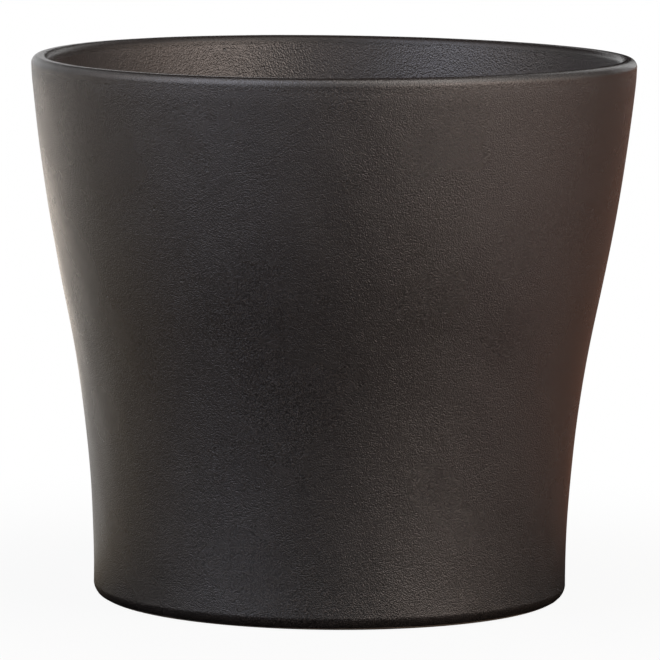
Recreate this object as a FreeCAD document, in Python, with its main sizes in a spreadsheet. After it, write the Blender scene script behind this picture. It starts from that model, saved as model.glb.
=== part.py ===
import FreeCAD, Part
import math
import os
from collections import namedtuple

import Sketcher

# Empty candle jar: a slip-cast stoneware vessel and the coats of glaze fired on to it.
# Millimetres. The jar stands on its foot ring at z = 0 and is round about the Z axis.
# Its side is an ogee: full under the lip, hollow above the foot, tangent all the way.

SIZES = [
    ("rim_radius", 50.0, "axis to the widest point of the finished lip"),
    ("jar_height", 89.9, "table to the top of the finished lip"),
    ("lip_lean", 5.1, "degrees that the side leans outward just under the lip"),
    ("turn_lean", 12.0, "degrees that it leans outward where hollow turns to full"),
    ("turn_height", 49.3, "table to that turn"),
    ("lip_round", 1.3, "radius of the lip's outer edge"),
    ("lip_crest", 0.4, "flat on top of the lip, and the inner edge takes the rest"),
    ("foot_corner", 2.3, "radius between the side and the table"),
    ("ring_width", 2.6, "width of the bare ring that the jar stands on"),
    ("ring_round", 0.5, "radius of the ring's inner edge"),
    ("recess_depth", 2.4, "table to the clay roof of the recess under the floor"),
    ("recess_fillet", 1.0, "radius between the roof and the side of the recess"),
    ("clay_wall", 2.3, "clay in the side, the same all the way up"),
    ("clay_floor", 3.5, "clay in the floor"),
    ("floor_fillet", 6.0, "radius in the clay between the floor and the side"),
    ("outer_coat", 0.3, "sprayed glaze on the outside and over the lip"),
    ("inner_coat", 0.35, "poured glaze on the inside"),
    ("base_coat", 0.25, "glaze in the recess"),
    ("bare_foot", 0.4, "table to the edge of the outside glaze"),
    ("lap_drop", 0.5, "end of the lip's inner edge down to where the two glazes meet"),
]

size = {name: value for name, value, note in SIZES}
doc = FreeCAD.newDocument("candle_jar")

sheet = doc.addObject("Spreadsheet::Sheet", "sizes")
for row, (name, value, note) in enumerate(SIZES, start=1):
    sheet.set(f"A{row}", name)
    sheet.set(f"B{row}", str(value))
    sheet.set(f"C{row}", note)
    sheet.setAlias(f"B{row}", name)
doc.recompute()


# ---- Where the curves lie, worked out from the sizes ----


def point(radius, height):
    return FreeCAD.Vector(radius, height, 0)


def around(centre, radius, degrees):
    """The point at an angle on a circle, with 0 outward and 90 up."""
    angle = math.radians(degrees)
    return centre + point(radius * math.cos(angle), radius * math.sin(angle))


def aim(begin, finish):
    """The angle of one point seen from another, in degrees."""
    return math.degrees(math.atan2(finish.y - begin.y, finish.x - begin.x))


class Side:
    """Centres and radii of the finished outside. The clay and the inside are parallel to it."""

    def __init__(self):
        lean = math.radians(size["turn_lean"])
        lip_lean = math.radians(size["lip_lean"])
        lip_out = size["rim_radius"] - size["lip_round"]
        lip_up = size["jar_height"] - size["lip_round"]
        self.lip_centre = point(lip_out, lip_up)
        under_lip = around(self.lip_centre, size["lip_round"], -size["lip_lean"])
        belly_rise = under_lip.y - size["turn_height"]
        self.belly_radius = belly_rise / (math.sin(lean) - math.sin(lip_lean))
        self.belly_centre = around(under_lip, self.belly_radius, 180 - size["lip_lean"])
        self.hollow_radius = (size["turn_height"] - size["foot_corner"]) / math.sin(lean)
        centres_apart = self.belly_radius + self.hollow_radius
        self.hollow_centre = around(self.belly_centre, centres_apart, -size["turn_lean"])
        self.foot_radius = self.hollow_centre.x - self.hollow_radius
        self.stand_radius = self.foot_radius - size["foot_corner"]
        self.clay_inset = size["outer_coat"] + size["clay_wall"]
        self.fit_inner_lip()
        self.fit_lap()
        self.fit_floor_fillet()

    def fit_inner_lip(self):
        """The lip's inner edge touches both the crest and the glazed inside of the wall."""
        out = self.lip_centre.x - size["lip_crest"]
        across = out - self.belly_centre.x
        up = size["jar_height"] - self.belly_centre.y
        inside = self.belly_radius - self.clay_inset - size["outer_coat"]
        self.inner_lip_radius = (across**2 + up**2 - inside**2) / (2 * (up + inside))
        self.inner_lip_centre = point(out, size["jar_height"] - self.inner_lip_radius)
        self.inner_lip_angle = aim(self.belly_centre, self.inner_lip_centre)

    def fit_lap(self):
        """The two glazes meet a short drop below the inner edge, on the clay inside."""
        inner_edge = self.inner_lip_radius - size["outer_coat"]
        under_edge = around(self.inner_lip_centre, inner_edge, 180 + self.inner_lip_angle)
        up = under_edge.y - size["lap_drop"] - self.belly_centre.y
        self.lap_angle = math.degrees(math.asin(up / (self.belly_radius - self.clay_inset)))

    def fit_floor_fillet(self):
        """The floor's fillet touches both the clay floor and the clay inside of the wall."""
        self.floor_height = size["recess_depth"] + size["clay_floor"]
        up = self.floor_height + size["floor_fillet"]
        reach = self.hollow_radius + self.clay_inset + size["floor_fillet"]
        across = math.sqrt(reach**2 - (up - self.hollow_centre.y) ** 2)
        self.floor_fillet_centre = point(self.hollow_centre.x - across, up)
        self.floor_fillet_angle = aim(self.floor_fillet_centre, self.hollow_centre)


side = Side()


# ---- Half sections: sketches that are walked edge by edge ----

# An edge's index with one of these is a point on it. The sketch's own axes count down from -1.
BEGIN, FINISH, CENTRE = range(1, 4)
ACROSS_AXIS, UP_AXIS = range(-1, -3, -1)
ORIGIN = (ACROSS_AXIS, BEGIN)

Edge = namedtuple("Edge", "index begin finish")


def as_numbers(places):
    """Edges are single numbers and points are pairs. A constraint takes them in one row."""
    numbers = []
    for place in places:
        numbers.extend(place if isinstance(place, tuple) else (place,))
    return numbers


class Section:
    """Half of a turned piece: a sketch in the upright plane of the piece's own body."""

    def __init__(self, label):
        self.body = doc.addObject("PartDesign::Body", label)
        self.body.Label = label
        self.sketch = self.body.newObject("Sketcher::SketchObject", label + "_section")
        upright = next(f for f in self.body.Origin.OriginFeatures if f.Role == "XZ_Plane")
        self.sketch.AttachmentSupport = [(upright, "")]
        self.sketch.MapMode = "FlatFace"
        self.rules = []
        self.formulas = {}

    def line(self, begin, finish, guide=False):
        """A straight edge. A guide, here and below, is no edge and only places other ones."""
        index = self.sketch.addGeometry(Part.LineSegment(begin, finish), guide)
        return Edge(index, (index, BEGIN), (index, FINISH))

    def arc(self, centre, radius, begin, finish, guide=False):
        """An edge that is walked from one angle of a circle to another."""
        circle = Part.Circle(centre, FreeCAD.Vector(0, 0, 1), radius)
        low, high = sorted((math.radians(begin), math.radians(finish)))
        index = self.sketch.addGeometry(Part.ArcOfCircle(circle, low, high), guide)
        ends = [(index, BEGIN), (index, FINISH)]
        if begin > finish:
            ends.reverse()
        return Edge(index, *ends)

    def hold(self, rule, *places):
        self.rules.append(Sketcher.Constraint(rule, *as_numbers(places)))

    def measure(self, name, rule, *places, formula):
        """A dimension that takes its value from the sheet, once it is drawn."""
        self.formulas[len(self.rules)] = (name, formula)
        self.rules.append(Sketcher.Constraint(rule, *as_numbers(places), self.drawn(rule, places)))

    def drawn(self, rule, places):
        """A dimension as the edges are drawn."""
        if rule == "Radius":
            return self.sketch.Geometry[places[0]].Radius
        if rule == "Angle":
            arc = self.sketch.Geometry[places[0]]
            return arc.LastParameter - arc.FirstParameter
        begin, finish = (self.sketch.getPoint(*place) for place in places)
        apart = finish - begin
        return {"DistanceX": apart.x, "DistanceY": apart.y, "Distance": apart.Length}[rule]

    def smooth(self, *edges):
        """Each edge runs into the next with no corner."""
        for before, after in zip(edges, edges[1:]):
            self.hold("Tangent", before.finish, after.begin)

    def join(self, *edges):
        """Each edge meets the next at a corner."""
        for before, after in zip(edges, edges[1:]):
            self.hold("Coincident", before.finish, after.begin)

    def same_centre(self, first, second):
        self.hold("Coincident", (first.index, CENTRE), (second.index, CENTRE))

    def turn(self):
        """Tie the closed section to its rules and sizes, and spin it round the jar's axis."""
        self.sketch.addConstraint(self.rules)
        for number, (name, formula) in self.formulas.items():
            self.sketch.renameConstraint(number, name)
            self.sketch.setExpression("Constraints." + name, formula)
        turned = self.body.newObject("PartDesign::Revolution", self.body.Label + "_turned")
        turned.Profile = self.sketch
        turned.ReferenceAxis = (self.sketch, ["V_Axis"])
        turned.Angle = 360
        return self.body


# ---- Runs of edges that more than one piece shares ----

Outside = namedtuple("Outside", "corner hollow belly lip")
OuterClay = namedtuple("OuterClay", "corner inner_lip inner_belly")
InnerClay = namedtuple("InnerClay", "fillet floor")
Recess = namedtuple("Recess", "roof fillet ring")


def finished_outside(section, corner_begin=-90, guide=True):
    """The master curve, foot to lip, drawn as glaze or kept as a guide for other edges."""
    lean = size["turn_lean"]
    lip_lean = size["lip_lean"]
    foot_centre = point(side.stand_radius, size["foot_corner"])
    corner = section.arc(foot_centre, size["foot_corner"], corner_begin, 0, guide)
    hollow = section.arc(side.hollow_centre, side.hollow_radius, 180, 180 - lean, guide)
    belly = section.arc(side.belly_centre, side.belly_radius, -lean, -lip_lean, guide)
    lip = section.arc(side.lip_centre, size["lip_round"], -lip_lean, 90, guide)
    section.smooth(corner, hollow, belly, lip)

    foot_centre = (corner.index, CENTRE)
    lip_centre = (lip.index, CENTRE)
    section.hold("Horizontal", corner.finish, foot_centre)
    section.measure("foot_corner", "Radius", corner.index, formula="sizes.foot_corner")
    section.measure("foot_up", "DistanceY", ORIGIN, foot_centre, formula="sizes.foot_corner")
    section.measure("turn_lean", "Angle", hollow.index, formula="sizes.turn_lean")
    section.measure("turn_up", "DistanceY", ORIGIN, hollow.finish, formula="sizes.turn_height")
    span = "sizes.turn_lean - sizes.lip_lean"
    section.measure("belly_span", "Angle", belly.index, formula=span)
    section.measure("lip_round", "Radius", lip.index, formula="sizes.lip_round")
    lip_out = "sizes.rim_radius - sizes.lip_round"
    section.measure("lip_out", "DistanceX", ORIGIN, lip_centre, formula=lip_out)
    lip_up = "sizes.jar_height - sizes.lip_round"
    section.measure("lip_up", "DistanceY", ORIGIN, lip_centre, formula=lip_up)
    return Outside(corner, hollow, belly, lip)


def guide_outside(section):
    """The master curve as a guide, with its two ends held."""
    outside = finished_outside(section)
    section.hold("Vertical", outside.corner.begin, (outside.corner.index, CENTRE))
    section.hold("Vertical", outside.lip.finish, (outside.lip.index, CENTRE))
    return outside


def parallel_belly(section, outside, inset, begin, finish, guide=False):
    """An arc parallel to the belly, that far inside the finished outside."""
    radius = side.belly_radius - inset
    belly = section.arc(side.belly_centre, radius, begin, finish, guide)
    section.same_centre(belly, outside.belly)
    return belly


def parallel_hollow(section, outside, inset, begin, finish, guide=False):
    """An arc parallel to the hollow, that far inside the finished outside."""
    radius = side.hollow_radius + inset
    hollow = section.arc(side.hollow_centre, radius, begin, finish, guide)
    section.same_centre(hollow, outside.hollow)
    return hollow


def outer_clay(section, outside, corner_begin, belly_finish, guide=False):
    """The clay under the outside glaze, from the foot over the lip and into the mouth."""
    coat = size["outer_coat"]
    lean = size["turn_lean"]
    lip_lean = size["lip_lean"]
    into_mouth = side.inner_lip_angle
    corner_radius = size["foot_corner"] - coat
    foot_out = side.foot_radius - coat
    foot_centre = point(side.stand_radius, corner_radius)
    rise_top = point(foot_out, size["foot_corner"])
    crest_up = size["jar_height"] - coat
    crest_ends = point(side.lip_centre.x, crest_up), point(side.inner_lip_centre.x, crest_up)
    inner_radius = side.inner_lip_radius - coat

    corner = section.arc(foot_centre, corner_radius, corner_begin, 0, guide)
    rise = section.line(point(foot_out, corner_radius), rise_top, guide)
    hollow = parallel_hollow(section, outside, coat, 180, 180 - lean, guide)
    belly = parallel_belly(section, outside, coat, -lean, -lip_lean, guide)
    lip = section.arc(side.lip_centre, size["lip_round"] - coat, -lip_lean, 90, guide)
    crest = section.line(*crest_ends, guide)
    inner_lip = section.arc(side.inner_lip_centre, inner_radius, 90, 180 + into_mouth, guide)
    inner_belly = parallel_belly(
        section, outside, side.clay_inset, into_mouth, belly_finish, guide
    )

    section.smooth(corner, rise, hollow, belly, lip, crest, inner_lip, inner_belly)
    section.hold("Vertical", rise.index)
    section.hold("Vertical", (corner.index, CENTRE), (outside.corner.index, CENTRE))
    section.same_centre(lip, outside.lip)
    section.hold("Horizontal", crest.index)
    turns = (hollow.finish, outside.hollow.finish)
    section.measure("outer_coat", "Distance", *turns, formula="sizes.outer_coat")
    crest_ends = (crest.finish, crest.begin)
    section.measure("lip_crest", "DistanceX", *crest_ends, formula="sizes.lip_crest")
    return OuterClay(corner, inner_lip, inner_belly)


def clay_on_table(section, clay):
    """Where no foot ring does it, the clay's corner is held down to the table."""
    clay_up = "sizes.foot_corner - sizes.outer_coat"
    centre = (clay.corner.index, CENTRE)
    section.measure("clay_foot_up", "DistanceY", ORIGIN, centre, formula=clay_up)


def inner_clay(section, outside, belly):
    """The clay inside below the turn: the hollow, the floor's fillet and the floor."""
    lean = size["turn_lean"]
    angle = side.floor_fillet_angle
    centre = side.floor_fillet_centre
    floor_ends = point(centre.x, side.floor_height), point(0, side.floor_height)
    hollow = parallel_hollow(section, outside, side.clay_inset, 180 - lean, 180 + angle)
    fillet = section.arc(centre, size["floor_fillet"], angle, -90)
    floor = section.line(*floor_ends)
    section.smooth(belly, hollow, fillet, floor)
    section.hold("Horizontal", floor.index)
    section.hold("PointOnObject", floor.finish, UP_AXIS)
    turns = (hollow.begin, outside.hollow.finish)
    inset = "sizes.outer_coat + sizes.clay_wall"
    section.measure("clay_inset", "Distance", *turns, formula=inset)
    section.measure("floor_fillet", "Radius", fillet.index, formula="sizes.floor_fillet")
    floor_up = "sizes.recess_depth + sizes.clay_floor"
    section.measure("floor_up", "DistanceY", ORIGIN, floor.finish, formula=floor_up)
    return InnerClay(fillet, floor)


def recess_clay(section, ring_guide=False):
    """The clay under the floor: roof, fillet and side of the recess, then the foot ring."""
    ring_inside = side.stand_radius - size["ring_width"]
    recess_out = ring_inside - size["ring_round"]
    roof_up = size["recess_depth"]
    fillet_centre = point(recess_out - size["recess_fillet"], roof_up - size["recess_fillet"])
    ring_centre = point(ring_inside, size["ring_round"])
    side_ends = point(recess_out, fillet_centre.y), point(recess_out, ring_centre.y)
    ring_ends = point(ring_inside, 0), point(side.stand_radius, 0)

    roof = section.line(point(0, roof_up), point(fillet_centre.x, roof_up))
    fillet = section.arc(fillet_centre, size["recess_fillet"], 90, 0)
    recess_side = section.line(*side_ends, ring_guide)
    edge = section.arc(ring_centre, size["ring_round"], 180, 270, ring_guide)
    ring = section.line(*ring_ends, ring_guide)
    section.smooth(roof, fillet, recess_side, edge, ring)
    section.hold("PointOnObject", roof.begin, UP_AXIS)
    section.hold("Horizontal", roof.index)
    section.hold("Vertical", recess_side.index)
    section.hold("Horizontal", ring.index)
    section.hold("PointOnObject", ring.begin, ACROSS_AXIS)
    section.measure("roof_up", "DistanceY", ORIGIN, roof.begin, formula="sizes.recess_depth")
    section.measure("recess_fillet", "Radius", fillet.index, formula="sizes.recess_fillet")
    section.measure("ring_round", "Radius", edge.index, formula="sizes.ring_round")
    ends = (ring.begin, ring.finish)
    section.measure("ring_width", "DistanceX", *ends, formula="sizes.ring_width")
    return Recess(roof, fillet, ring)


def lap_line(section, outside, clay, coat):
    """The edge of a glaze inside the mouth, square to the wall."""
    clay_radius = side.belly_radius - side.clay_inset
    begin = around(side.belly_centre, clay_radius, side.lap_angle)
    finish = around(side.belly_centre, clay_radius - coat, side.lap_angle)
    lap = section.line(begin, finish)
    section.join(clay.inner_belly, lap)
    section.hold("PointOnObject", (outside.belly.index, CENTRE), lap.index)
    drop = (lap.begin, clay.inner_belly.begin)
    section.measure("lap_drop", "DistanceY", *drop, formula="sizes.lap_drop")
    return lap


def wall_guide(section, outside, lap):
    """Clay and outside glaze together, measured square through the wall at the lap."""
    skin = around(side.belly_centre, side.belly_radius, side.lap_angle)
    clay_radius = side.belly_radius - side.clay_inset
    wall = section.line(skin, around(side.belly_centre, clay_radius, side.lap_angle), guide=True)
    section.join(wall, lap)
    section.hold("PointOnObject", (outside.belly.index, CENTRE), wall.index)
    section.hold("PointOnObject", wall.begin, outside.belly.index)
    inset = "sizes.outer_coat + sizes.clay_wall"
    section.measure("clay_inset", "Distance", wall.begin, wall.finish, formula=inset)


# ---- The pieces ----


def stoneware_body():
    """The cast clay: foot ring and recess, side, lip, inside and floor."""
    section = Section("stoneware_body")
    outside = guide_outside(section)
    recess = recess_clay(section)
    outer = outer_clay(section, outside, corner_begin=-90, belly_finish=-size["turn_lean"])
    inner = inner_clay(section, outside, outer.inner_belly)
    axis = section.line(point(0, side.floor_height), point(0, size["recess_depth"]))
    section.smooth(recess.ring, outer.corner)
    section.join(inner.floor, axis, recess.roof)
    return section.turn()


def outer_glaze():
    """The sprayed coat: all of the outside, over the lip, down to the lap in the mouth."""
    section = Section("outer_glaze")
    coat = size["outer_coat"]
    bare = size["bare_foot"]
    corner_radius = size["foot_corner"]
    clay_radius = corner_radius - coat
    corner_begin = math.degrees(math.asin((bare - corner_radius) / corner_radius))
    clay_begin = math.degrees(math.asin((bare - clay_radius) / clay_radius))
    crest_ends = (
        point(side.lip_centre.x, size["jar_height"]),
        point(side.inner_lip_centre.x, size["jar_height"]),
    )
    into_mouth = side.inner_lip_angle
    inset = side.clay_inset + coat

    outside = finished_outside(section, corner_begin, guide=False)
    crest = section.line(*crest_ends)
    inner_lip = section.arc(side.inner_lip_centre, side.inner_lip_radius, 90, 180 + into_mouth)
    inner_belly = parallel_belly(section, outside, inset, into_mouth, side.lap_angle)
    clay = outer_clay(section, outside, clay_begin, side.lap_angle)
    lap = lap_line(section, outside, clay, coat)
    foot_edge = section.line(
        around(point(side.stand_radius, clay_radius), clay_radius, clay_begin),
        around(point(side.stand_radius, corner_radius), corner_radius, corner_begin),
    )

    clay_on_table(section, clay)
    wall_guide(section, outside, lap)
    section.smooth(outside.lip, crest, inner_lip, inner_belly)
    section.same_centre(inner_lip, clay.inner_lip)
    section.hold("Coincident", inner_belly.finish, lap.finish)
    section.hold("Coincident", clay.corner.begin, foot_edge.begin)
    section.join(foot_edge, outside.corner)
    section.hold("Horizontal", crest.index)
    section.hold("Horizontal", foot_edge.index)
    section.measure("bare_foot", "DistanceY", ORIGIN, foot_edge.finish, formula="sizes.bare_foot")
    return section.turn()


def inner_glaze():
    """The poured coat: from the lap down the inside and over the floor."""
    section = Section("inner_glaze")
    coat = size["inner_coat"]
    lean = size["turn_lean"]
    inset = side.clay_inset + coat
    angle = side.floor_fillet_angle
    centre = side.floor_fillet_centre
    floor_up = side.floor_height + coat

    outside = guide_outside(section)
    lip_clay = outer_clay(section, outside, -90, side.lap_angle, guide=True)
    lap = lap_line(section, outside, lip_clay, coat)
    clay_belly = parallel_belly(section, outside, side.clay_inset, side.lap_angle, -lean)
    clay = inner_clay(section, outside, clay_belly)
    axis = section.line(point(0, side.floor_height), point(0, floor_up))
    floor = section.line(point(0, floor_up), point(centre.x, floor_up))
    fillet = section.arc(centre, size["floor_fillet"] - coat, -90, angle)
    hollow = parallel_hollow(section, outside, inset, 180 + angle, 180 - lean)
    belly = parallel_belly(section, outside, inset, -lean, side.lap_angle)

    clay_on_table(section, lip_clay)
    section.hold("Vertical", lip_clay.corner.begin, (lip_clay.corner.index, CENTRE))
    section.join(lip_clay.inner_belly, clay_belly)
    section.join(clay.floor, axis, floor)
    section.smooth(floor, fillet, hollow, belly)
    section.hold("Coincident", belly.finish, lap.finish)
    section.hold("Vertical", axis.index)
    section.hold("Horizontal", floor.index)
    section.same_centre(fillet, clay.fillet)
    section.measure("inner_coat", "DistanceY", axis.begin, axis.finish, formula="sizes.inner_coat")
    return section.turn()


def base_glaze():
    """The coat in the recess: its roof and the fillet round it."""
    section = Section("base_glaze")
    coat = size["base_coat"]
    outside = guide_outside(section)
    clay = recess_clay(section, ring_guide=True)
    roof_up = size["recess_depth"]
    recess_out = side.stand_radius - size["ring_width"] - size["ring_round"]
    fillet_centre = point(recess_out - size["recess_fillet"], roof_up - size["recess_fillet"])
    film_out = recess_out - coat
    film_up = roof_up - coat

    edge = section.line(point(recess_out, fillet_centre.y), point(film_out, fillet_centre.y))
    fillet = section.arc(fillet_centre, size["recess_fillet"] - coat, 0, 90)
    roof = section.line(point(fillet_centre.x, film_up), point(0, film_up))
    axis = section.line(point(0, film_up), point(0, roof_up))

    section.join(clay.fillet, edge, fillet)
    section.smooth(fillet, roof)
    section.join(roof, axis, clay.roof)
    section.hold("Horizontal", edge.index)
    section.hold("Horizontal", roof.index)
    section.hold("Vertical", axis.index)
    section.same_centre(fillet, clay.fillet)
    section.hold("Vertical", clay.ring.finish, (outside.corner.index, CENTRE))
    section.measure("base_coat", "DistanceY", axis.begin, axis.finish, formula="sizes.base_coat")
    return section.turn()


def check(pieces):
    """Nothing has failed to compute, and each piece is one sound solid."""
    for item in doc.Objects:
        if {"Invalid", "Error"} & set(item.State):
            raise RuntimeError(item.Name + " did not compute")
    for piece in pieces:
        shape = piece.Shape
        if shape.isNull() or not shape.isValid() or len(shape.Solids) != 1:
            raise RuntimeError(piece.Label + " is not one sound solid")


def main():
    pieces = [stoneware_body(), outer_glaze(), inner_glaze(), base_glaze()]
    doc.recompute()
    check(pieces)
    os.makedirs("parts", exist_ok=True)
    for piece in pieces:
        piece.Shape.exportStep(f"parts/{piece.Label}.step")
        print(piece.Label, round(piece.Shape.Volume, 1), "cubic millimetres")


main()
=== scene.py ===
import math
import random
from collections import namedtuple

import bpy
import numpy as np
from mathutils import Matrix, Vector


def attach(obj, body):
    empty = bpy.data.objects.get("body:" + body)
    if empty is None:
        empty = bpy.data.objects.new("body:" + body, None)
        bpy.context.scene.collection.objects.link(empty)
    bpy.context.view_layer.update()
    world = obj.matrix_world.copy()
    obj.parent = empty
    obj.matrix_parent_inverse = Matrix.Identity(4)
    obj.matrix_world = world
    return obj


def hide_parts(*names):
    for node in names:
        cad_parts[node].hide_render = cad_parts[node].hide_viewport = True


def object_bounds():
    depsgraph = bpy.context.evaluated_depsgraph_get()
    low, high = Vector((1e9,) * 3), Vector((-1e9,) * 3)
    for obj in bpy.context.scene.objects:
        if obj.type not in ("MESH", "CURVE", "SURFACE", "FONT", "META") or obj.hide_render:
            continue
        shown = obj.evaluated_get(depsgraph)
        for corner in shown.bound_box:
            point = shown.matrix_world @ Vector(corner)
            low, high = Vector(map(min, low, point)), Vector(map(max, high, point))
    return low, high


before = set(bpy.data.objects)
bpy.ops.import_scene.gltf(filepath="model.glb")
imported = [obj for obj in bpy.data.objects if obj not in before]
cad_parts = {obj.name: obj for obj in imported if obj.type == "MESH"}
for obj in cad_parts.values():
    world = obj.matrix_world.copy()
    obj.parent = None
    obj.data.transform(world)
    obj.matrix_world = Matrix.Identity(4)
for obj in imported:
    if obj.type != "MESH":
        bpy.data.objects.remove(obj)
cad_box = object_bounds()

# Empty candle jar: an open stoneware vessel, slip-cast, fired and glazed matte black.
# Lengths are in millimetres until a mesh, a lamp or a material takes them, because a potter
# works in them. Angles are in degrees until a sine or a turn needs them.
MM = 0.001

# ---- Sizes of the jar, the same as its solids have ----

RIM_RADIUS = cad_box[1].x / MM
JAR_HEIGHT = cad_box[1].z / MM
LIP_LEAN = 5.1          # degrees that the side leans outward just under the lip
TURN_LEAN = 12.0        # degrees that it leans where the hollow turns to the belly
TURN_HEIGHT = 49.3      # table to that turn
LIP_ROUND = 1.3         # radius of the lip's outer edge
LIP_CREST = 0.4         # flat on top of the lip
FOOT_CORNER = 2.3       # radius from the side to the table
RING_WIDTH = 2.6        # ring that the jar stands on
RING_ROUND = 0.5        # radius of the ring's inner edge
RECESS_DEPTH = 2.4
RECESS_FILLET = 1.0
CLAY_WALL = 2.3
CLAY_FLOOR = 3.5
FLOOR_FILLET = 6.0
OUTER_COAT = 0.3
INNER_COAT = 0.35
BASE_COAT = 0.25
BARE_FOOT = 0.4         # table to the edge of the outside glaze
LAP_DROP = 0.5          # end of the lip's inner edge down to where the two glazes meet

CLAY_INSET = OUTER_COAT + CLAY_WALL
FLOOR_HEIGHT = RECESS_DEPTH + CLAY_FLOOR


def around(centre, radius, degrees):
    """The place at an angle on a circle of the jar's section, 0 outward and 90 up."""
    turn = math.radians(degrees)
    return centre[0] + radius * math.cos(turn), centre[1] + radius * math.sin(turn)


def aim(begin, finish):
    """The angle at which one place of the section is seen from another."""
    return math.degrees(math.atan2(finish[1] - begin[1], finish[0] - begin[0]))


# The side is two arcs that run into each other: a hollow above the foot, a belly under the lip.
LIP_CENTRE = (RIM_RADIUS - LIP_ROUND, JAR_HEIGHT - LIP_ROUND)
UNDER_LIP = around(LIP_CENTRE, LIP_ROUND, -LIP_LEAN)
TURN_SINE = math.sin(math.radians(TURN_LEAN))
LIP_SINE = math.sin(math.radians(LIP_LEAN))
BELLY_RADIUS = (UNDER_LIP[1] - TURN_HEIGHT) / (TURN_SINE - LIP_SINE)
BELLY_CENTRE = around(UNDER_LIP, BELLY_RADIUS, 180 - LIP_LEAN)
HOLLOW_RADIUS = (TURN_HEIGHT - FOOT_CORNER) / TURN_SINE
HOLLOW_CENTRE = around(BELLY_CENTRE, BELLY_RADIUS + HOLLOW_RADIUS, -TURN_LEAN)
STAND_RADIUS = HOLLOW_CENTRE[0] - HOLLOW_RADIUS - FOOT_CORNER

# The lip's inner edge touches the crest and the glazed inside of the wall.
INNER_LIP_OUT = LIP_CENTRE[0] - LIP_CREST
LIP_ACROSS = INNER_LIP_OUT - BELLY_CENTRE[0]
LIP_UP = JAR_HEIGHT - BELLY_CENTRE[1]
LIP_INSIDE = BELLY_RADIUS - CLAY_INSET - OUTER_COAT
INNER_LIP_RADIUS = (LIP_ACROSS**2 + LIP_UP**2 - LIP_INSIDE**2) / (2 * (LIP_UP + LIP_INSIDE))
INNER_LIP_CENTRE = (INNER_LIP_OUT, JAR_HEIGHT - INNER_LIP_RADIUS)
INTO_MOUTH = aim(BELLY_CENTRE, INNER_LIP_CENTRE)

# The two glazes meet a short drop below that edge.
UNDER_EDGE = around(INNER_LIP_CENTRE, INNER_LIP_RADIUS - OUTER_COAT, 180 + INTO_MOUTH)
LAP_UP = UNDER_EDGE[1] - LAP_DROP - BELLY_CENTRE[1]
LAP_ANGLE = math.degrees(math.asin(LAP_UP / (BELLY_RADIUS - CLAY_INSET)))
LAP = around(BELLY_CENTRE, BELLY_RADIUS - CLAY_INSET, LAP_ANGLE)

# The floor's fillet touches the clay floor and the clay inside of the wall.
FILLET_UP = FLOOR_HEIGHT + FLOOR_FILLET
FILLET_REACH = HOLLOW_RADIUS + CLAY_INSET + FLOOR_FILLET
FILLET_ACROSS = math.sqrt(FILLET_REACH**2 - (FILLET_UP - HOLLOW_CENTRE[1]) ** 2)
FILLET_CENTRE = (HOLLOW_CENTRE[0] - FILLET_ACROSS, FILLET_UP)
FILLET_ANGLE = aim(FILLET_CENTRE, HOLLOW_CENTRE)

# ---- The potter's hand: how far the fired jar is from a perfect one ----

OUT_OF_ROUND = 0.12     # the rim draws in this far on its narrow diameter, front to back
EGG = 0.05              # share of that which goes to an egg shape instead of an oval
EGG_TURN = 2.1          # radians that the egg is turned by
LIP_TWIST = 0.133       # the lip rises and falls this far either way, twice in a turn
LIP_TILT = 0.072        # and lies this much lower on the left, and higher on the right
LIP_SOFT = 0.1          # the glaze draws back from the lip, so that the side rolls into it
ROLL_BEGIN = 2.6        # below the lip's rounding, where that roll begins
ROLL_LENGTH = 2.8       # height in which it comes in full
ROLL_FADE = 0.5         # and way across the crest in which it fades towards the mouth
SKIN_WAVE = 0.035       # slow rise and fall of the glaze's thickness, either way
SETTLE = 7.0            # the glaze comes to its own thickness this far from an edge
SWELLS = 14             # waves that make up this rise and fall
SWELLS_AROUND = (8, 32)     # fewest and most of one wave in a turn of the jar
SWELL_LENGTH = (12, 40)     # shortest and longest of them up the side
LAP_WAVE = 0.22         # the lap inside the mouth wanders this far up and down
LAP_WAVES = (2, 3, 5, 9, 14, 23, 37)        # in waves, so many of each in a turn
LAP_SEED = 11
FOOT_WAVE = 0.16        # so does the wiped edge of the glaze at the foot
FOOT_WAVES = (3, 4, 7, 11, 19, 31, 47)
FOOT_SEED = 12
FOOT_LEAN = 34          # degrees above level, the way in which that edge wanders
LAP_EASE = 1.2          # degrees of the belly's arc in which the liner thickens under the lap
LINER_SKIN = 0.8        # share of the slow rise and fall that the poured liner has on the wall
FLOOR_SKIN = 0.5        # on the floor
RECESS_SKIN = 0.4       # and that the glaze in the recess has

# A place of a section, and its share in the slow rise and fall and in each wandering edge.
Row = namedtuple("Row", "out up skin lap foot")


def waver(angles, waves, seed):
    """An uneven line round the jar, from about -1 to 1, closed on itself."""
    chance = random.Random(seed)
    shares = [wave ** -0.5 for wave in waves]
    line = np.zeros_like(angles)
    for wave, share in zip(waves, shares):
        line += share * np.cos(wave * angles + chance.uniform(0, 2 * math.pi))
    usual_peak = 0.6 * sum(shares)      # since the waves hardly ever peak together
    return line / usual_peak


def slow_swell(angles, heights, seed):
    """The rise and fall of a fired coat, from about -1 to 1."""
    chance = random.Random(seed)
    swell = np.zeros(np.broadcast(angles, heights).shape)
    for _ in range(SWELLS):
        across = chance.randint(*SWELLS_AROUND)
        up = 2 * math.pi / chance.uniform(*SWELL_LENGTH) * chance.choice((-1, 1))
        swell += np.cos(across * angles + up * heights + chance.uniform(0, 2 * math.pi))
    return swell / (SWELLS / 2)


def eased(share):
    """0 to 1 with a soft start and a soft end."""
    share = np.clip(share, 0, 1)
    return share * share * (3 - 2 * share)


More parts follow.
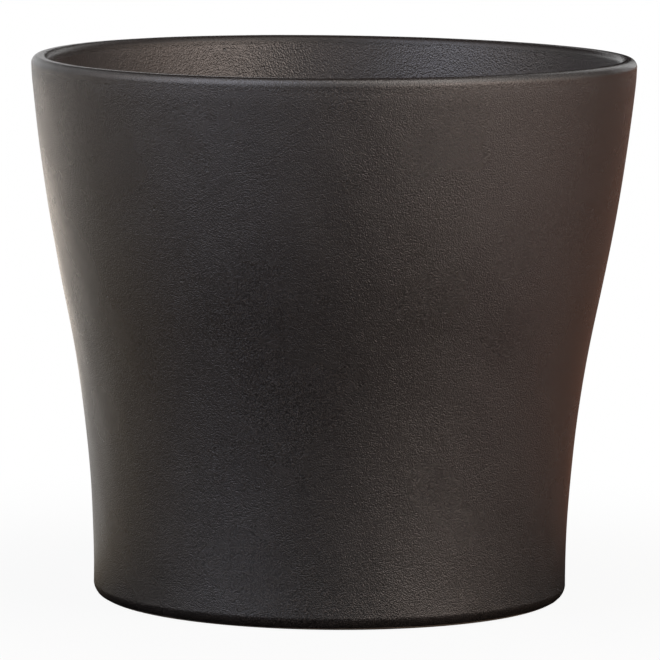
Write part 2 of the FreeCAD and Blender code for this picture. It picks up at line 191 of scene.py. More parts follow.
def wandered(angles, out, up, lap, foot):
    """The rows once the two edges of the glaze have wandered."""
    lap_line = LAP_WAVE * waver(angles, LAP_WAVES, LAP_SEED)
    foot_line = FOOT_WAVE * waver(angles, FOOT_WAVES, FOOT_SEED)
    lap_lean, foot_lean = math.radians(-LAP_ANGLE), math.radians(FOOT_LEAN)
    out = out + lap * lap_line * math.sin(lap_lean) + foot * foot_line * math.cos(foot_lean)
    up = up + lap * lap_line * math.cos(lap_lean) + foot * foot_line * math.sin(foot_lean)
    return out, up


def swollen(angles, out, up, skin, seed):
    """The rows once the coat has swelled and thinned, square to its own face."""
    along_out, along_up = (np.roll(line, -1, 0) - np.roll(line, 1, 0) for line in (out, up))
    length = np.hypot(along_out, along_up)
    swell = skin * SKIN_WAVE * (slow_swell(angles, up + out, seed) - 1)
    swell *= eased(np.minimum(np.hypot(out - LAP[0], up - LAP[1]), up) / SETTLE)
    return out + swell * along_up / length, up - swell * along_out / length


def fired(angles, rows, seed):
    """Where the rows of a section end up round the jar once hand and kiln have had their say."""
    out, up, skin, lap, foot = (np.array(column, float)[:, None] for column in zip(*rows))
    out, up = wandered(angles, out, up, lap, foot)
    height_share = np.clip(up / JAR_HEIGHT, 0, 1)
    out, up = swollen(angles, out, up, skin, seed)

    # The kiln moves the open rim most. The foot stands on the shelf, and stays round and flat.
    roll = eased((up - JAR_HEIGHT + LIP_ROUND + ROLL_BEGIN) / ROLL_LENGTH)
    roll = roll * eased((out - INNER_LIP_OUT) / ROLL_FADE)
    narrow = 0.5 - (0.5 - EGG) * np.cos(2 * angles) + EGG * np.cos(3 * angles + EGG_TURN)
    drawn_in = OUT_OF_ROUND * narrow * height_share**2 * (out / RIM_RADIUS)
    dip = LIP_TWIST * (1 + np.sin(2 * angles)) + LIP_TILT * (1 - np.cos(angles))
    return out - LIP_SOFT * roll - drawn_in, up - dip * height_share**6


# ---- Sections: rows of places that are walked as a template would be ----


def arc(centre, radius, begin, finish, steps, skin=0.0, lap=0.0, foot=0.0):
    """Rows along a circle, its end left for the next run to begin with."""
    turns = [begin + (finish - begin) * step / steps for step in range(steps)]
    return [Row(*around(centre, radius, turn), skin, lap, foot) for turn in turns]


def straight(begin, finish, steps, skin=0.0):
    """Rows along a straight line, its end left for the next run to begin with."""
    across, rise = finish[0] - begin[0], finish[1] - begin[1]
    shares = [step / steps for step in range(steps)]
    return [Row(begin[0] + across * s, begin[1] + rise * s, skin, 0, 0) for s in shares]


def clay_outside(steps):
    """The clay from the foot's corner over the lip to the end of the lip's inner edge."""
    radius = FOOT_CORNER - OUTER_COAT
    side = STAND_RADIUS + radius
    crest = JAR_HEIGHT - OUTER_COAT
    return (
        straight((side, radius), (side, FOOT_CORNER), steps=2)
        + arc(HOLLOW_CENTRE, HOLLOW_RADIUS + OUTER_COAT, 180, 180 - TURN_LEAN, steps)
        + arc(BELLY_CENTRE, BELLY_RADIUS - OUTER_COAT, -TURN_LEAN, -LIP_LEAN, steps)
        + arc(LIP_CENTRE, LIP_ROUND - OUTER_COAT, -LIP_LEAN, 90, steps=6)
        + straight((LIP_CENTRE[0], crest), (INNER_LIP_OUT, crest), steps=1)
        + arc(INNER_LIP_CENTRE, INNER_LIP_RADIUS - OUTER_COAT, 90, 180 + INTO_MOUTH, steps=8)
    )


def inside_wall(inset, begin, steps, skin):
    """The wall inside, from an angle under the lip down to the floor's fillet."""
    fillet = FLOOR_FILLET - (inset - CLAY_INSET)
    to_fillet = 180 + FILLET_ANGLE
    return (
        arc(BELLY_CENTRE, BELLY_RADIUS - inset, begin, -TURN_LEAN, steps, skin)
        + arc(HOLLOW_CENTRE, HOLLOW_RADIUS + inset, 180 - TURN_LEAN, to_fillet, steps, skin)
        + arc(FILLET_CENTRE, fillet, FILLET_ANGLE, -90, steps=14, skin=skin)
    )


WIPED_THIN = 0.03       # the sponge has thinned the glaze's edge at the foot by this much
WIPED_TURN = 5          # over so many degrees of the foot's corner
WIPED_EASE = 12         # degrees of glaze above it that wander with it
WIPED_UNDER = 8         # and of clay behind it
WIPED_SHARE = 0.7       # by this share of its way


def outer_glaze_rows():
    """From the wiped foot up the outside, over the lip to the lap, and back along the clay."""
    corner = (STAND_RADIUS, FOOT_CORNER)
    corner_begin = math.degrees(math.asin((BARE_FOOT - FOOT_CORNER) / FOOT_CORNER))
    clay_radius = FOOT_CORNER - OUTER_COAT
    clay_corner = (STAND_RADIUS, clay_radius)
    clay_begin = math.degrees(math.asin((BARE_FOOT - clay_radius) / clay_radius))
    clay = BELLY_RADIUS - CLAY_INSET
    face = clay - OUTER_COAT
    edge = corner_begin + WIPED_TURN
    eased_edge = edge + WIPED_EASE
    under_edge = clay_begin + WIPED_UNDER
    rows = arc(corner, FOOT_CORNER - WIPED_THIN, corner_begin, edge, steps=2, foot=1.0)
    rows += arc(corner, FOOT_CORNER, edge, eased_edge, steps=3, foot=WIPED_SHARE)
    rows += arc(corner, FOOT_CORNER, eased_edge, 0, steps=10)
    rows += arc(HOLLOW_CENTRE, HOLLOW_RADIUS, 180, 180 - TURN_LEAN, steps=66, skin=1.0)
    rows += arc(BELLY_CENTRE, BELLY_RADIUS, -TURN_LEAN, -LIP_LEAN, steps=58, skin=1.0)
    rows += arc(LIP_CENTRE, LIP_ROUND, -LIP_LEAN, 90, steps=18, skin=1.0)
    rows += straight((LIP_CENTRE[0], JAR_HEIGHT), (INNER_LIP_OUT, JAR_HEIGHT), 2, skin=1.0)
    rows += arc(INNER_LIP_CENTRE, INNER_LIP_RADIUS, 90, 180 + INTO_MOUTH, steps=16, skin=1.0)
    rows += arc(BELLY_CENTRE, face, INTO_MOUTH, LAP_ANGLE, steps=4, skin=1.0, lap=0.5)
    rows += [Row(*around(BELLY_CENTRE, face, LAP_ANGLE), 0, 1.0, 0)]
    rows += arc(BELLY_CENTRE, clay, LAP_ANGLE, INTO_MOUTH, steps=2, lap=1.0)
    rows += reversed(clay_outside(steps=12))
    rows += arc(clay_corner, clay_radius, 0, under_edge, steps=5)
    rows += arc(clay_corner, clay_radius, under_edge, clay_begin, steps=2, foot=WIPED_SHARE)
    rows += [Row(*around(clay_corner, clay_radius, clay_begin), 0, 0, 1.0)]
    return rows


LAP_STEPS = 10


def inner_glaze_rows():
    """From the clay floor out and up to the lap, and down the liner's face to the floor."""
    clay = BELLY_RADIUS - CLAY_INSET
    floor = FLOOR_HEIGHT + INNER_COAT
    under_lap = LAP_ANGLE - LAP_EASE
    rows = [Row(0, FLOOR_HEIGHT, 0, 0, 0), Row(FILLET_CENTRE[0], FLOOR_HEIGHT, 0, 0, 0)]
    rows += reversed(inside_wall(CLAY_INSET, under_lap, steps=12, skin=0.0))
    rows += [Row(*around(BELLY_CENTRE, clay, LAP_ANGLE), 0, 1.0, 0)]
    for step in range(LAP_STEPS):
        drop = step / LAP_STEPS
        thick = OUTER_COAT + float(eased(drop)) * (INNER_COAT - OUTER_COAT)
        place = around(BELLY_CENTRE, clay - thick, LAP_ANGLE - drop * LAP_EASE)
        rows.append(Row(*place, LINER_SKIN, 1 - drop, 0))
    rows += inside_wall(CLAY_INSET + INNER_COAT, under_lap, steps=54, skin=LINER_SKIN)
    rows += straight((FILLET_CENTRE[0], floor), (0, floor), steps=26, skin=FLOOR_SKIN)
    return rows + [Row(0, floor, 0, 0, 0)]


def recess_rows(coat, skin):
    """The recess under the floor, from the middle of its roof to the top of its side."""
    recess_out = STAND_RADIUS - RING_WIDTH - RING_ROUND
    centre = (recess_out - RECESS_FILLET, RECESS_DEPTH - RECESS_FILLET)
    roof = RECESS_DEPTH - coat
    return (
        straight((0, roof), (centre[0], roof), steps=20, skin=skin)
        + arc(centre, RECESS_FILLET - coat, 90, 0, steps=10)
        + [Row(centre[0] + RECESS_FILLET - coat, centre[1], 0, 0, 0)]
    )


def base_glaze_rows():
    """The glaze in the recess: its face from the middle out, and back along the clay."""
    return recess_rows(BASE_COAT, RECESS_SKIN) + list(reversed(recess_rows(0, skin=0.0)))


def stoneware_rows():
    """The cast clay: recess, the wiped ring that it stands on, outside, lip, inside and floor."""
    ring_inside = STAND_RADIUS - RING_WIDTH
    radius = FOOT_CORNER - OUTER_COAT
    rows = recess_rows(0, skin=0.0)
    rows += arc((ring_inside, RING_ROUND), RING_ROUND, 180, 270, steps=8)
    rows += straight((ring_inside, 0), (STAND_RADIUS, 0), steps=8)
    rows += arc((STAND_RADIUS, radius), radius, -90, 0, steps=14)
    rows += clay_outside(steps=16)
    rows += inside_wall(CLAY_INSET, INTO_MOUTH, steps=16, skin=0.0)
    rows += straight((FILLET_CENTRE[0], FLOOR_HEIGHT), (0, FLOOR_HEIGHT), steps=4)
    return rows + [Row(0, FLOOR_HEIGHT, 0, 0, 0)]


# ---- Turning a section into a piece ----

AROUND = 600            # places in a turn of the jar
SHARP_EDGE = 38         # degrees between two faces from which their edge is a crisp one


def turned(name, rows, seed):
    """A closed piece from a section: a ring, or a disc where its rows begin and end on the axis."""
    angles = np.arange(AROUND) * (2 * math.pi / AROUND)
    out, up = fired(angles, rows, seed)
    places = np.stack([out * np.cos(angles), out * np.sin(angles), up], axis=2) * MM
    ring = rows[0].out > 0
    if not ring:
        places = places[1:-1]
    corners = places.reshape(-1, 3).tolist()
    bands = [(row, row + 1) for row in range(len(places) - 1)]
    if ring:
        bands.append((len(places) - 1, 0))
    else:
        first_middle, last_middle = len(corners), len(corners) + 1
        last_row = (len(places) - 1) * AROUND
        corners += [(0, 0, float(up[0, 0]) * MM), (0, 0, float(up[-1, 0]) * MM)]
    faces = []
    for step in range(AROUND):
        after = (step + 1) % AROUND
        for low, high in bands:
            low_at, high_at = low * AROUND, high * AROUND
            faces.append((low_at + step, low_at + after, high_at + after, high_at + step))
        if not ring:
            faces.append((first_middle, after, step))
            faces.append((last_middle, last_row + step, last_row + after))
    mesh = bpy.data.meshes.new(name)
    mesh.from_pydata(corners, [], faces)
    mesh.shade_smooth()
    mesh.set_sharp_from_angle(angle=math.radians(SHARP_EDGE))
    mesh.validate()
    piece = bpy.data.objects.new(name, mesh)
    bpy.context.scene.collection.objects.link(piece)
    return piece


def stand_in(piece, node, material):
    """The piece takes the place of a plain solid, on the jar's one body."""
    piece.data.materials.append(material)
    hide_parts(node)
    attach(piece, "root")


# ---- Finishes ----

# A Mix node has sockets for each kind of data, and only their numbers tell these apart.
NUMBER_A, NUMBER_B = 2, 3
COLOUR_A, COLOUR_B, COLOUR_OUT = 6, 7, 2


def linear(hex_colour):
    """An sRGB hex colour as the linear colour that a shader takes."""
    channels = [int(hex_colour[at:at + 2], 16) / 255 for at in (1, 3, 5)]
    return [c / 12.92 if c <= 0.04045 else ((c + 0.055) / 1.055) ** 2.4 for c in channels] + [1.0]


def cleared(block):
    """The node tree of a material or of the world, with nothing in it."""
    block.use_nodes = True
    block.node_tree.nodes.clear()
    return block.node_tree


def add(tree, kind, sockets=None, **settings):
    """A node with its settings, and its sockets set or linked."""
    node = tree.nodes.new(kind)
    for name, value in settings.items():
        setattr(node, name, value)
    for name, value in (sockets or {}).items():
        if isinstance(value, bpy.types.NodeSocket):
            tree.links.new(value, node.inputs[name])
        else:
            node.inputs[name].default_value = value
    return node


def per_mm(spacing):
    """A pattern's scale from the distance between its grains, in millimetres."""
    return 1 / (spacing * MM)


CERAMIC_IOR = 1.5
CLOUD = 17              # mm across a cloud of tint
CLOUD_RANGE = (0.3, 0.7)    # how low and how high the clouds usually go
PEEL = 1.5              # grains across a dimple of the orange peel
PEEL_DEPTH = 0.3        # how deep it is, where the grain's height is 1
PINHOLES_APART = 9      # mm
PINHOLE = (0.162, 0.27)     # mm, radius of its bottom and of its rim
# painted shade: the colour a pinhole is painted, for the shade that falls in the pit
PINHOLE_PAINTED_SHADE = "#0a0908"
CRYSTALS = (0.45, 0.8)      # height of the grain at which they begin, and cover it
RUN = 0.5               # from foot to rim the coat's thinness goes from minus to plus this
ROUGHER = 0.03          # the clouds make the skin this much smoother or rougher
FOOT_RELIEF = 0.7       # low on the jar the thick coat has flowed out, to this share of its grain
LIP_DOWN = (2.8, 0.3)   # mm below the rim where the lip's thinner glaze begins, and is full
LIP_ROUGH = 0.20        # it has run smooth
LIP_RELIEF = 0.5        # and kept this share of its grain
USUAL_GLOSS = 0.5
DRY_GLOSS = 0.12        # on the mouth's edge, where the thin glaze has dried out
DRY_OUT = (0.1, -0.3)   # mm out from the crest's inner edge where that begins, and is full
DRY_DOWN = (1.7, 0.4)   # mm below the rim where it begins, and is full
SLANT = (0.5, 0.8)      # it looks dull up to the first slant, 0 straight on, and not at the next

# What varies over a glaze: slow clouds, fine grain, dimples, and 1 but for 0 in a pinhole.
Skin = namedtuple("Skin", "clouds grain dimples whole")


def glaze_skin(tree, where, spacing):
    """The patterns of a fired glaze, its grain a given distance apart."""
    clouds = add(
        tree, "ShaderNodeTexNoise",
        {"Vector": where, "Scale": per_mm(CLOUD), "Detail": 3.0, "Roughness": 0.55},
    )
    grain = add(
        tree, "ShaderNodeTexNoise",
        {"Vector": where, "Scale": per_mm(spacing), "Detail": 1.0, "Roughness": 0.5},
    )
    peel = add(
        tree, "ShaderNodeTexVoronoi",
        {"Vector": where, "Scale": per_mm(spacing * PEEL), "Smoothness": 1.0},
        feature="SMOOTH_F1",
    )
    pinholes = add(
        tree, "ShaderNodeTexVoronoi", {"Vector": where, "Scale": per_mm(PINHOLES_APART)}
    )
    whole = add(
        tree, "ShaderNodeMapRange",
        {"Value": pinholes.outputs["Distance"], "From Min": PINHOLE[0] / PINHOLES_APART,
         "From Max": PINHOLE[1] / PINHOLES_APART},
    )
    return Skin(
        clouds.outputs["Fac"], grain.outputs["Fac"], peel.outputs["Distance"],
        whole.outputs["Result"],
    )


def glaze_colour(tree, skin, run_thin, thick, thin, crystals):
    """Dark where the coat is thick, lighter where it is thin, with pale crystals.
    Pinholes are painted near black, as painted shade in the pits.

    The crystals of a real matte glaze are a few hundredths of a millimetre, too fine to show.
    They are drawn as coarse as the grain, which shows.
    """
    thinness = add(
        tree, "ShaderNodeMath", {0: run_thin, 1: skin.clouds}, operation="ADD", use_clamp=True
    )
    tint = add(
        tree, "ShaderNodeMix",
        {"Factor": thinness.outputs[0], COLOUR_A: linear(thick), COLOUR_B: linear(thin)},
        data_type="RGBA",
    )
    crystal = add(
        tree, "ShaderNodeMapRange",
        {"Value": skin.grain, "From Min": CRYSTALS[0], "From Max": CRYSTALS[1]},
    )
    speckled = add(
        tree, "ShaderNodeMix",
        {"Factor": crystal.outputs["Result"], COLOUR_A: tint.outputs[COLOUR_OUT],
         COLOUR_B: linear(crystals)},
        data_type="RGBA",
    )
    # pinholes: painted shade, near black where the glaze dips into a pit
    return add(
        tree, "ShaderNodeMix",
        {"Factor": skin.whole, COLOUR_A: linear(PINHOLE_PAINTED_SHADE),
         COLOUR_B: speckled.outputs[COLOUR_OUT]},
        data_type="RGBA",
    ).outputs[COLOUR_OUT]


def glaze_roughness(tree, skin, below_lip, rough):
    """Smoother and rougher with the clouds, and smooth over the lip."""
    uneven = add(
        tree, "ShaderNodeMapRange",
        {"Value": skin.clouds, "From Min": CLOUD_RANGE[0], "From Max": CLOUD_RANGE[1],
         "To Min": rough - ROUGHER, "To Max": rough + ROUGHER},
    )
    return add(
        tree, "ShaderNodeMix",
        {"Factor": below_lip, NUMBER_A: LIP_ROUGH, NUMBER_B: uneven.outputs["Result"]},
    ).outputs[0]


def glaze_gloss(tree, where, up):
    """The usual gloss, but little on the mouth's edge unless it is seen at a low slant."""
    level = add(tree, "ShaderNodeVectorMath", {0: where, 1: (1, 1, 0)}, operation="MULTIPLY")
    out = add(tree, "ShaderNodeVectorMath", {0: level.outputs[0]}, operation="LENGTH")
    into_mouth = add(
        tree, "ShaderNodeMapRange",
        {"Value": out.outputs["Value"], "From Min": (INNER_LIP_OUT + DRY_OUT[0]) * MM,
         "From Max": (INNER_LIP_OUT + DRY_OUT[1]) * MM},
        interpolation_type="SMOOTHSTEP",
    )
    near_rim = add(
        tree, "ShaderNodeMapRange",
        {"Value": up, "From Min": (JAR_HEIGHT - DRY_DOWN[0]) * MM,
         "From Max": (JAR_HEIGHT - DRY_DOWN[1]) * MM},
        interpolation_type="SMOOTHSTEP",
    )
    faced = add(
        tree, "ShaderNodeMapRange",
        {"Value": add(tree, "ShaderNodeLayerWeight").outputs["Facing"], "From Min": SLANT[0],
         "From Max": SLANT[1], "To Min": 1.0, "To Max": 0.0},
        interpolation_type="SMOOTHSTEP",
    )
    dried_there = add(
        tree, "ShaderNodeMath",
        {0: into_mouth.outputs["Result"], 1: near_rim.outputs["Result"]}, operation="MULTIPLY",
    )
    dried = add(
        tree, "ShaderNodeMath",
        {0: dried_there.outputs[0], 1: faced.outputs["Result"]}, operation="MULTIPLY",
    )
    return add(
        tree, "ShaderNodeMapRange",
        {"Value": dried.outputs[0], "To Min": USUAL_GLOSS, "To Max": DRY_GLOSS},
    ).outputs["Result"]


def glaze_relief(tree, skin, run_thin, below_lip, relief):
    """Grain, dimples and pinholes as a bump, flatter low on the jar and over the lip."""
    dimples = add(
        tree, "ShaderNodeMath", {0: skin.dimples, 1: PEEL_DEPTH}, operation="MULTIPLY"
    )
    peel = add(
        tree, "ShaderNodeMath", {0: skin.grain, 1: dimples.outputs[0]}, operation="SUBTRACT"
    )
    height = add(
        tree, "ShaderNodeMath", {0: peel.outputs[0], 1: skin.whole}, operation="ADD"
    )
    over_lip = add(
        tree, "ShaderNodeMapRange", {"Value": below_lip, "To Min": LIP_RELIEF, "To Max": 1.0}
    )
    up_jar = add(
        tree, "ShaderNodeMapRange",
        {"Value": run_thin, "From Min": -RUN, "From Max": RUN, "To Min": FOOT_RELIEF},
    )
    strength = add(
        tree, "ShaderNodeMath",
        {0: over_lip.outputs["Result"], 1: up_jar.outputs["Result"]}, operation="MULTIPLY",
    )
    return add(
        tree, "ShaderNodeBump",
        {"Height": height.outputs[0], "Distance": relief * MM, "Strength": strength.outputs[0]},
    ).outputs["Normal"]


def fired_glaze(name, thick, thin, crystals, spacing, relief, rough):
    """Matte black stoneware glaze, sprayed or poured on and fired to a skin of fine crystals.

    It gives the eye a deep charcoal with no shine but a soft one along the lip. It greys towards
    its edges and lies in slow clouds, a little lighter up the jar where the coat has run thin. A
    fine orange-peel grain breaks every highlight into specks, and there are a few pinholes.
    """
    material = bpy.data.materials.new(name)
    tree = cleared(material)
    where = add(tree, "ShaderNodeTexCoord").outputs["Object"]
    up = add(tree, "ShaderNodeSeparateXYZ", {0: where}).outputs["Z"]
    run_thin = add(
        tree, "ShaderNodeMapRange",
        {"Value": up, "From Max": JAR_HEIGHT * MM, "To Min": -RUN, "To Max": RUN},
    ).outputs["Result"]
    below_lip = add(
        tree, "ShaderNodeMapRange",
        {"Value": up, "From Min": (JAR_HEIGHT - LIP_DOWN[0]) * MM,
         "From Max": (JAR_HEIGHT - LIP_DOWN[1]) * MM, "To Min": 1.0, "To Max": 0.0},
        interpolation_type="SMOOTHSTEP",
    ).outputs["Result"]
    skin = glaze_skin(tree, where, spacing)
    shader = add(
        tree, "ShaderNodeBsdfPrincipled",
        {
            "Base Color": glaze_colour(tree, skin, run_thin, thick, thin, crystals),
            "Roughness": glaze_roughness(tree, skin, below_lip, rough),
            "IOR": CERAMIC_IOR,
            "Specular IOR Level": glaze_gloss(tree, where, up),
            "Normal": glaze_relief(tree, skin, run_thin, below_lip, relief),
        },
    )
    add(tree, "ShaderNodeOutputMaterial", {"Surface": shader.outputs["BSDF"]})
    return material


GROG = 0.35             # mm between the grains of grog
GROG_SHOWS = (0.56, 0.74)   # height at which a grain begins to show pale, and does
GROG_RELIEF = 0.06      # mm
FLAME = 12              # mm across a blush that the kiln's flame leaves on the clay


def bare_stoneware(name):
    """Dark stoneware clay, wiped with a sponge and fired: dry, sandy and without any gloss.

    The sponge leaves grains of grog standing, so it looks like fine sandpaper.
    """
    material = bpy.data.materials.new(name)
    tree = cleared(material)
    where = add(tree, "ShaderNodeTexCoord").outputs["Object"]
    grog = add(
        tree, "ShaderNodeTexNoise",
        {"Vector": where, "Scale": per_mm(GROG), "Detail": 3.0, "Roughness": 0.6},
    )
    flame = add(
        tree, "ShaderNodeTexNoise", {"Vector": where, "Scale": per_mm(FLAME), "Detail": 2.0}
    )
    body = add(
        tree, "ShaderNodeMix",
        {"Factor": flame.outputs["Fac"], COLOUR_A: linear("#5b524b"),
         COLOUR_B: linear("#776a5e")},
        data_type="RGBA",
    )
    grains = add(
        tree, "ShaderNodeMapRange",
        {"Value": grog.outputs["Fac"], "From Min": GROG_SHOWS[0], "From Max": GROG_SHOWS[1],
         "To Max": 0.7},
    )
    colour = add(
        tree, "ShaderNodeMix",
        {"Factor": grains.outputs["Result"], COLOUR_A: body.outputs[COLOUR_OUT],
         COLOUR_B: linear("#948779")},
        data_type="RGBA",
    )
    bump = add(
        tree, "ShaderNodeBump",
        {"Height": grog.outputs["Fac"], "Distance": GROG_RELIEF * MM, "Strength": 1.0},
    )
    shader = add(
        tree, "ShaderNodeBsdfPrincipled",
        {
            "Base Color": colour.outputs[COLOUR_OUT],
            "Roughness": 0.9,
            "IOR": CERAMIC_IOR,
            "Specular IOR Level": 0.3,
            "Normal": bump.outputs["Normal"],
        },
    )
    add(tree, "ShaderNodeOutputMaterial", {"Surface": shader.outputs["BSDF"]})
    return material


# ---- The jar ----

sprayed_matte_black = fired_glaze(
    "sprayed_matte_black_glaze", thick="#0f0d0c", thin="#1f1c1b", crystals="#37322f",
    spacing=0.18, relief=0.125, rough=0.28,
)
poured_matte_black = fired_glaze(
    "poured_matte_black_glaze", thick="#1c1a19", thin="#282423", crystals="#3a3634",
    spacing=0.26, relief=0.105, rough=0.30,
)
wiped_clay = bare_stoneware("wiped_stoneware_clay")

stand_in(turned("cast_stoneware", stoneware_rows(), seed=1),
         "stoneware_body", wiped_clay)
stand_in(turned("sprayed_outer_glaze", outer_glaze_rows(), seed=2),
         "outer_glaze", sprayed_matte_black)
stand_in(turned("poured_liner_glaze", inner_glaze_rows(), seed=3),
         "inner_glaze", poured_matte_black)
stand_in(turned("recess_glaze", base_glaze_rows(), seed=4),
         "base_glaze", sprayed_matte_black)


# ---- Camera ----

SENSOR = 36.0
LENS = 354.7
CAMERA_AWAY = 1076.4
CAMERA_RISE = 6.575     # degrees above level
CAMERA_ROLL = 0.525     # degrees
AIM_OFF = (-0.29, 0, -0.73)     # from the jar's middle to what the camera is aimed at

middle = Vector((0, 0, JAR_HEIGHT / 2))
rise = math.radians(CAMERA_RISE)
stand = middle + CAMERA_AWAY * Vector((0, -math.cos(rise), math.sin(rise)))
look = (middle + Vector(AIM_OFF) - stand).to_track_quat("-Z", "Y").to_matrix()
roll = Matrix.Rotation(math.radians(CAMERA_ROLL), 3, "Z")
camera = bpy.data.objects.new("camera", bpy.data.cameras.new("camera"))
camera.data.sensor_width = SENSOR
camera.data.lens = LENS
camera.matrix_world = Matrix.Translation(stand * MM) @ (look @ roll).to_4x4()
bpy.context.scene.collection.objects.link(camera)
bpy.context.scene.camera = camera


# ---- Studio ----
# A white room, a pale floor and a few soft lamps, all in metres. Bearings are in degrees round
# the jar: 0 is the camera's side, 90 its right, 180 behind the jar and -90 its left.


def bearing(degrees, climb):
    """The way from the jar's middle to a bearing, so many degrees above level."""
    turn, rise = math.radians(degrees), math.radians(climb)
    return Vector(
        (math.sin(turn) * math.cos(rise), -math.cos(turn) * math.cos(rise), math.sin(rise))
    )


def lamp(name, place, facing, across, up, strength, colour):
    """A soft rectangle of light. At a strength of 1 its face is as bright as white paper."""
    light = bpy.data.lights.new(name, "AREA")
    light.shape = "RECTANGLE"
    light.size = across
    light.size_y = up
    light.energy = math.pi * across * up * strength
    light.color = linear(colour)[:3]
    holder = bpy.data.objects.new(name, light)
    holder.location = place
    holder.rotation_euler = facing.to_track_quat("-Z", "Y").to_euler()
    holder.visible_camera = False
    bpy.context.scene.collection.objects.link(holder)


SOFTBOX_AWAY = 1.0
SOFTBOXES = (
    # name, bearing, climb, width, height, strength, colour
    ("right_softbox", 47, 14, 0.58, 0.45, 6.7, "#ffeadd"),
    ("right_side_softbox", 80, 14, 0.45, 0.45, 1.8, "#ffd6b8"),
    ("right_high_softbox", 55, 57, 0.45, 0.80, 4.8, "#fff4ea"),
    ("front_softbox", -20, 8, 0.70, 0.30, 0.35, "#e6e9ff"),
    ("left_softbox", -50, 14, 0.45, 0.45, 4.0, "#e8ecff"),
    ("left_side_softbox", -86, 28, 0.45, 0.75, 1.5, "#ffeee6"),
    ("left_high_softbox", -52, 50, 0.45, 0.80, 4.4, "#e8ecff"),
)
for name, degrees, climb, across, up, strength, colour in SOFTBOXES:
    out = bearing(degrees, climb)
    lamp(name, middle * MM + SOFTBOX_AWAY * out, -out, across, up, strength, colour)

# A light table lies flat behind the jar, left of it, and draws the bright line down that side.
lamp("light_table", place=Vector((-0.16, 0.42, 0.002)), facing=Vector((0, 0, 1)), across=0.30,
     up=0.40, strength=1.3, colour="#ffebd6")


def black_velvet():
    """Black cotton velvet, whose cut pile takes up nearly all light: a flat, dull black."""
    material = bpy.data.materials.new("black_velvet")
    tree = cleared(material)
    pile = add(tree, "ShaderNodeBsdfDiffuse", {"Color": linear("#0c0c0c")})
    add(tree, "ShaderNodeOutputMaterial", {"Surface": pile.outputs[0]})
    return material


def lit_grey_card():
    """Matte grey card with a lamp of its own, so that it looks the same grey all over."""
    material = bpy.data.materials.new("evenly_lit_grey_card")
    tree = cleared(material)
    card = add(tree, "ShaderNodeEmission", {"Color": linear("#aeaeae"), "Strength": 1.0})
    add(tree, "ShaderNodeOutputMaterial", {"Surface": card.outputs[0]})
    material.cycles.emission_sampling = "NONE"      # the card shows, and lights nothing
    return material


HANGING_STEPS = 8


def hang(name, surface, turns, climbs, away):
    """A cloth or card, curved round the jar's middle, that is seen only where it is mirrored."""
    columns = HANGING_STEPS + 1
    mesh = bpy.data.meshes.new(name)
    mesh.from_pydata(
        [
            middle * MM + away * bearing(turn, climb)
            for climb in np.linspace(*climbs, columns).tolist()
            for turn in np.linspace(*turns, columns).tolist()
        ],
        [],
        [
            (at, at + 1, at + columns + 1, at + columns)
            for row in range(HANGING_STEPS)
            for at in range(row * columns, row * columns + HANGING_STEPS)
        ],
    )
    mesh.materials.append(surface)
    hanging = bpy.data.objects.new(name, mesh)
    bpy.context.scene.collection.objects.link(hanging)
    hanging.visible_camera = False
    hanging.visible_diffuse = False
    hanging.visible_transmission = False
    hanging.visible_shadow = False


# Black cloths hang behind the jar and over it, so that the crest of its lip stays a dark line.
# A grey card beside them takes the glare of the white room off the lip on the left.
velvet = black_velvet()
HANGINGS = (
    # name, what it is, bearings, climbs as seen from the jar's middle, distance
    ("high_black_cloth", velvet, (132, 235), (42, 89), 0.9),
    ("middle_black_cloth", velvet, (167, 181), (0, 42), 0.9),
    ("left_black_cloth", velvet, (180, 213), (19, 50), 0.35),
    ("right_black_cloth", velvet, (116, 146), (1, 42), 0.9),
    ("left_grey_card", lit_grey_card(), (219, 258), (4, 42), 0.9),
)
for name, surface, turns, climbs, away in HANGINGS:
    hang(name, surface, turns, climbs, away)

# Painted reflections that only the glaze sees on the floor, by bearing: pale behind the jar on the
# left, brown towards the front, black in front, and on the right pale pink that browns towards the
# back.
PAINTED_REFLECTION_COLOURS = (
    (-180, "#e0ddda"), (-165, "#e4e2e0"), (-135, "#d6d3cf"), (-105, "#a08c6c"),
    (-75, "#75685a"), (-45, "#000000"), (15, "#000000"), (45, "#3c3d1a"), (75, "#d3b8bc"),
    (105, "#bc9686"), (135, "#6a4434"), (165, "#946f60"), (180, "#ad958c"),
)
# A painted shadow of the jar lies in those reflections, in front of it and to the right. It is
# black as far out as the first reach, and gone at the second.
PAINTED_SHADOW_MIDDLE = (0.030, -0.035, 0)
PAINTED_SHADOW_REACH = (0.062, 0.125)


def seen_by(tree, *rays):
    """1 where one of these rays looks at a surface, and 0 for all others."""
    path = add(tree, "ShaderNodeLightPath")
    seen = path.outputs[rays[0]]
    for ray in rays[1:]:
        seen = add(
            tree, "ShaderNodeMath", {0: seen, 1: path.outputs[ray]}, operation="MAXIMUM"
        ).outputs[0]
    return seen


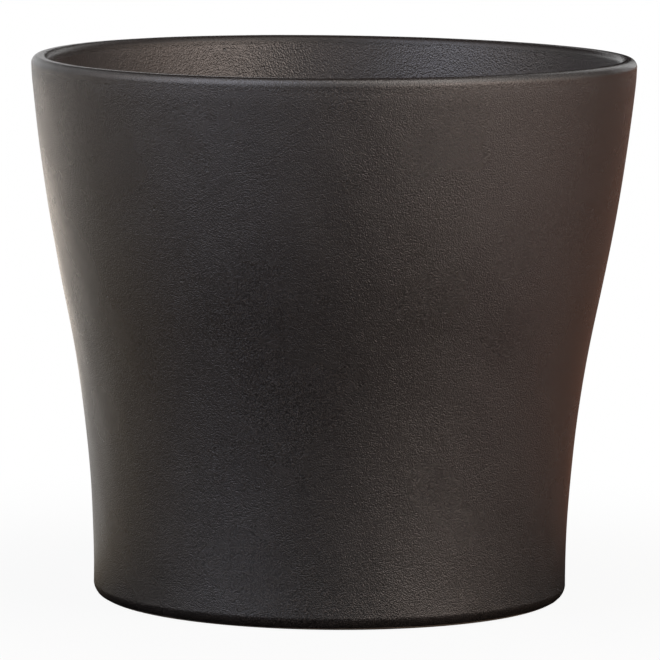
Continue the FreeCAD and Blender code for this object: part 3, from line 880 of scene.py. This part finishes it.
def painted_floor_reflection(tree, where):
    """Painted reflections of a table top round the jar, with the jar's shadow painted black on it.
    """
    turned_about = add(
        tree, "ShaderNodeMapping", {"Vector": where, "Rotation": (0, 0, math.radians(90))}
    )
    round_jar = add(
        tree, "ShaderNodeTexGradient", {"Vector": turned_about.outputs[0]},
        gradient_type="RADIAL",
    )
    colours = add(tree, "ShaderNodeValToRGB", {"Fac": round_jar.outputs["Fac"]})
    stops = colours.color_ramp.elements
    while len(stops) < len(PAINTED_REFLECTION_COLOURS):
        stops.new(0.5)
    for stop, (degrees, colour) in zip(stops, PAINTED_REFLECTION_COLOURS):
        stop.position = degrees / 360 + 0.5
        stop.color = linear(colour)
    from_shade = add(
        tree, "ShaderNodeVectorMath", {0: where, 1: PAINTED_SHADOW_MIDDLE}, operation="DISTANCE"
    )
    clear = add(
        tree, "ShaderNodeMapRange",
        {"Value": from_shade.outputs["Value"], "From Min": PAINTED_SHADOW_REACH[0],
         "From Max": PAINTED_SHADOW_REACH[1]},
        interpolation_type="SMOOTHSTEP",
    )
    # painted shadow: black near the jar in the painted reflections
    return add(
        tree, "ShaderNodeMix",
        {"Factor": clear.outputs["Result"], COLOUR_A: linear("#000000"),
         COLOUR_B: colours.outputs["Color"]},
        data_type="RGBA",
    ).outputs[COLOUR_OUT]


FLOOR_REACH = 4.0
WHITE_SHARE = 0.93      # of plain white beside the jar, where the rest of the paint takes shadow
SHADOW_REACH = (0.045, 0.16)        # from there the white gains, and is full


def white_floor_paint():
    """Matte white paint, rolled on: to the camera white, with the jar's soft shadow on it.

    In the glaze it shows painted reflections of a table top instead,
    and any other light meets pale paint.
    """
    material = bpy.data.materials.new("white_floor_paint")
    tree = cleared(material)
    where = add(tree, "ShaderNodeTexCoord").outputs["Object"]
    mirrored = seen_by(tree, "Is Glossy Ray", "Is Transmission Ray")
    # painted reflections: glossy rays see this glow, not the lit paint
    glow = add(
        tree, "ShaderNodeMix",
        {"Factor": mirrored, COLOUR_A: linear("#ffffff"), COLOUR_B: painted_floor_reflection(tree, where)},
        data_type="RGBA",
    )
    bright = add(
        tree, "ShaderNodeEmission", {"Color": glow.outputs[COLOUR_OUT], "Strength": 1.0}
    )
    plain = add(tree, "ShaderNodeBsdfDiffuse", {"Color": linear("#a8a8a8")})
    from_jar = add(tree, "ShaderNodeVectorMath", {0: where}, operation="LENGTH")
    whiter = add(
        tree, "ShaderNodeMapRange",
        {"Value": from_jar.outputs["Value"], "From Min": SHADOW_REACH[0],
         "From Max": SHADOW_REACH[1], "To Min": WHITE_SHARE, "To Max": 1.0},
        interpolation_type="SMOOTHSTEP",
    )
    to_camera = add(
        tree, "ShaderNodeMath",
        {0: seen_by(tree, "Is Camera Ray"), 1: whiter.outputs["Result"]}, operation="MULTIPLY",
    )
    share = add(
        tree, "ShaderNodeMath", {0: to_camera.outputs[0], 1: mirrored}, operation="MAXIMUM"
    )
    paint = add(
        tree, "ShaderNodeMixShader",
        {0: share.outputs[0], 1: plain.outputs[0], 2: bright.outputs[0]},
    )
    add(tree, "ShaderNodeOutputMaterial", {"Surface": paint.outputs[0]})
    material.cycles.emission_sampling = "NONE"      # or its light would ignore which ray looks
    return material


floor_corners = ((-1, -1), (1, -1), (1, 1), (-1, 1))
floor_mesh = bpy.data.meshes.new("studio_floor")
floor_mesh.from_pydata(
    [(x * FLOOR_REACH, y * FLOOR_REACH, 0) for x, y in floor_corners], [], [(0, 1, 2, 3)]
)
floor_mesh.materials.append(white_floor_paint())
floor = bpy.data.objects.new("studio_floor", floor_mesh)
bpy.context.scene.collection.objects.link(floor)

# The room is white to the camera and in the glaze, and only fills the shadows a little.
ROOM_FILL = 0.25
world = bpy.data.worlds.new("white_room")
bpy.context.scene.world = world
tree = cleared(world)
white = add(tree, "ShaderNodeBackground", {"Color": linear("#ffffff"), "Strength": 1.0})
fill = add(tree, "ShaderNodeBackground", {"Color": linear("#ffffff"), "Strength": ROOM_FILL})
room = add(
    tree, "ShaderNodeMixShader",
    {0: seen_by(tree, "Is Camera Ray", "Is Glossy Ray", "Is Transmission Ray"),
     1: fill.outputs[0], 2: white.outputs[0]},
)
add(tree, "ShaderNodeOutputWorld", {"Surface": room.outputs[0]})
world.cycles.sampling_method = "NONE"       # or its light would ignore which ray looks

bpy.context.scene.view_settings.view_transform = "Standard"
